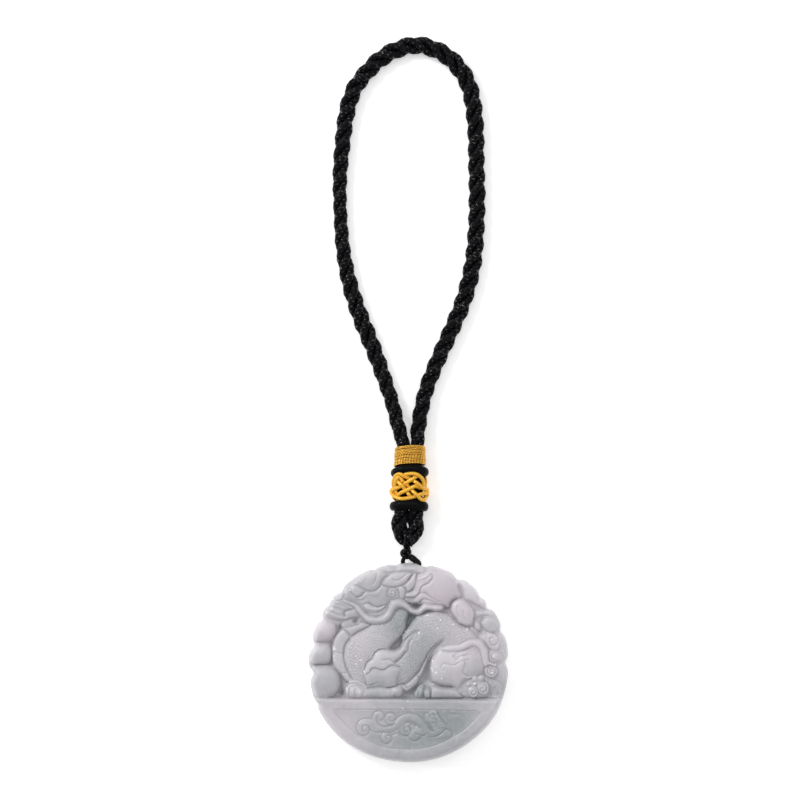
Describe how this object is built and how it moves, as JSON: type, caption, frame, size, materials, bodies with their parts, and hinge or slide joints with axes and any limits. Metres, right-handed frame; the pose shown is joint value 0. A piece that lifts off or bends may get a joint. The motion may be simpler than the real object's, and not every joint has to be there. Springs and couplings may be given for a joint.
{
  "type": "jade pendant on a cord",
  "caption": "Round carved jade disc hung by a small tie from a looped black laid cord with gold knot and thread bindings, lying flat.",
  "frame": {"origin": "middle of the jade disc's flat back, on the surface that it lies on", "axes": "+Z out of the carved front, square to the back; +Y from the disc towards the top of the cord's loop; +X to the viewer's right when looking at the front"},
  "size_m": [0.055, 0.2, 0.0085],
  "materials": {
    "jade": "satin",
    "black_cord": "satin",
    "gold_thread": "satin",
    "black_thread": "satin"
  },
  "bodies": {
    "root": {"jade_disc": "jade", "loop_cord": "black_cord", "cord_eye": "black_cord", "gold_wrap": "gold_thread", "upper_ring": "black_thread", "gold_knot": "gold_thread", "lower_ring": "black_thread", "tie_knot": "black_thread", "tie_string": "black_thread", "eye_passes": "black_thread"}
  },
  "joints": []
}
